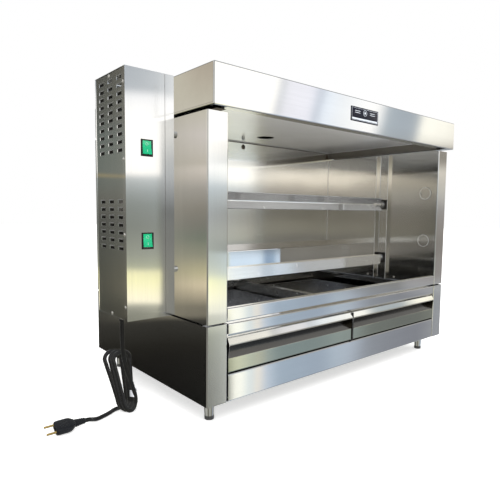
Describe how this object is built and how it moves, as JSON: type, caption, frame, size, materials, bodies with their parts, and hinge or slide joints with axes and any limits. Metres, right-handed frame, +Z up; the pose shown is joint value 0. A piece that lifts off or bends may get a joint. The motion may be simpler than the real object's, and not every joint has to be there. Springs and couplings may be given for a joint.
{
  "type": "rotisserie oven",
  "caption": "Countertop rotisserie oven with an open roasting cavity, two motor-driven spits, drip drawers under it and a side motor box.",
  "frame": {"origin": "on the surface the oven stands on, under the middle of its box without the cord", "axes": "+Z up, the open front faces -Y, +X to the right of someone facing the front, along the spits"},
  "size_m": [1.177, 0.5616, 0.721],
  "materials": {
    "brushed_stainless": "brushed, vertical grain on the pillars and horizontal grain on the fascia",
    "dull_steel": "dull mill finish, scuffed",
    "dark_steel": "dark, dull",
    "bright_chrome": "polished",
    "cast_metal": "rough",
    "black_plastic": "moulded, slightly glossy",
    "green_plastic": "translucent green, glossy",
    "white_plastic": "plain",
    "cord_rubber": "smooth black sheath",
    "plate_enamel": "dark blue enamel, glossy"
  },
  "bodies": {
    "chassis": {"base_left_side": "brushed_stainless", "base_right_side": "brushed_stainless", "base_front_panel": "brushed_stainless", "base_front_rail": "brushed_stainless", "left_side_skin": "brushed_stainless", "right_side_skin": "brushed_stainless", "inner_left_wall": "brushed_stainless", "inner_right_wall": "brushed_stainless", "cavity_back_wall": "brushed_stainless", "rear_cover": "brushed_stainless", "front_ledge": "brushed_stainless", "canopy_shell": "brushed_stainless", "ceiling_panel": "brushed_stainless", "burner_baffle": "brushed_stainless", "spit_post": "brushed_stainless", "motor_tray": "brushed_stainless", "motor_cover": "brushed_stainless", "base_floor": "dull_steel", "base_back_panel": "dull_steel", "base_back_rail": "dull_steel", "base_centre_rail": "dull_steel", "drawer_runner_left": "dull_steel", "drawer_runner_right": "dull_steel", "burner_tube": "dull_steel", "louvred_panel": "dull_steel", "foot_sleeve_front_left": "bright_chrome", "foot_sleeve_front_right": "bright_chrome", "foot_sleeve_back_left": "bright_chrome", "foot_sleeve_back_right": "bright_chrome", "bearing_block_upper": "cast_metal", "bearing_block_lower": "cast_metal", "gear_motor_upper": "cast_metal", "gear_motor_lower": "cast_metal", "switch_body_upper": "black_plastic", "switch_body_lower": "black_plastic", "cord_gland": "black_plastic", "plug": "black_plastic", "terminal_block": "white_plastic", "cord_tie": "white_plastic", "cord_drop": "cord_rubber", "cord_bundle": "cord_rubber", "cord_tail": "cord_rubber", "name_plate": "plate_enamel"},
    "drawer_left": {"drawer_tray_left": "dull_steel", "drawer_front_left": "brushed_stainless"},
    "drawer_right": {"drawer_tray_right": "dull_steel", "drawer_front_right": "brushed_stainless"},
    "upper_spit": {"upper_spit": "brushed_stainless", "drive_socket_upper": "bright_chrome"},
    "lower_spit": {"lower_spit": "brushed_stainless", "drive_socket_lower": "bright_chrome"},
    "rocker_upper": {"rocker_upper": "green_plastic"},
    "rocker_lower": {"rocker_lower": "green_plastic"},
    "port_cover_upper": {"port_cover_upper": "brushed_stainless"},
    "port_cover_lower": {"port_cover_lower": "brushed_stainless"},
    "foot_tip_front_left": {"foot_tip_front_left": "dark_steel"},
    "foot_tip_front_right": {"foot_tip_front_right": "dark_steel"},
    "foot_tip_back_left": {"foot_tip_back_left": "dark_steel"},
    "foot_tip_back_right": {"foot_tip_back_right": "dark_steel"}
  },
  "joints": [
    {"name": "upper_spit_spin", "type": "hinge", "parent": "chassis", "child": "upper_spit", "pos_m": [-0.3975, -0.07375, 0.47], "axis": [1, 0, 0], "continuous": true},
    {"name": "lower_spit_spin", "type": "hinge", "parent": "chassis", "child": "lower_spit", "pos_m": [-0.3975, -0.07375, 0.292], "axis": [1, 0, 0], "continuous": true},
    {"name": "drawer_left_slide", "type": "slide", "parent": "chassis", "child": "drawer_left", "axis": [0, -1, 0], "range_m": [0, 0.36]},
    {"name": "drawer_right_slide", "type": "slide", "parent": "chassis", "child": "drawer_right", "axis": [0, -1, 0], "range_m": [0, 0.36]},
    {"name": "rocker_upper_tilt", "type": "hinge", "parent": "chassis", "child": "rocker_upper", "pos_m": [-0.4785, -0.16575, 0.563], "axis": [1, 0, 0], "range_deg": [0, 16]},
    {"name": "rocker_lower_tilt", "type": "hinge", "parent": "chassis", "child": "rocker_lower", "pos_m": [-0.4785, -0.16575, 0.383], "axis": [1, 0, 0], "range_deg": [0, 16]},
    {"name": "port_cover_upper_swing", "type": "hinge", "parent": "chassis", "child": "port_cover_upper", "pos_m": [0.4725, -0.20525, 0.505], "axis": [1, 0, 0], "range_deg": [0, 170]},
    {"name": "port_cover_lower_swing", "type": "hinge", "parent": "chassis", "child": "port_cover_lower", "pos_m": [0.4725, -0.20425, 0.355], "axis": [1, 0, 0], "range_deg": [0, 170]},
    {"name": "foot_front_left_screw", "type": "slide", "parent": "chassis", "child": "foot_tip_front_left", "axis": [0, 0, -1], "range_m": [0, 0.012]},
    {"name": "foot_front_right_screw", "type": "slide", "parent": "chassis", "child": "foot_tip_front_right", "axis": [0, 0, -1], "range_m": [0, 0.012]},
    {"name": "foot_back_left_screw", "type": "slide", "parent": "chassis", "child": "foot_tip_back_left", "axis": [0, 0, -1], "range_m": [0, 0.012]},
    {"name": "foot_back_right_screw", "type": "slide", "parent": "chassis", "child": "foot_tip_back_right", "axis": [0, 0, -1], "range_m": [0, 0.012]}
  ]
}
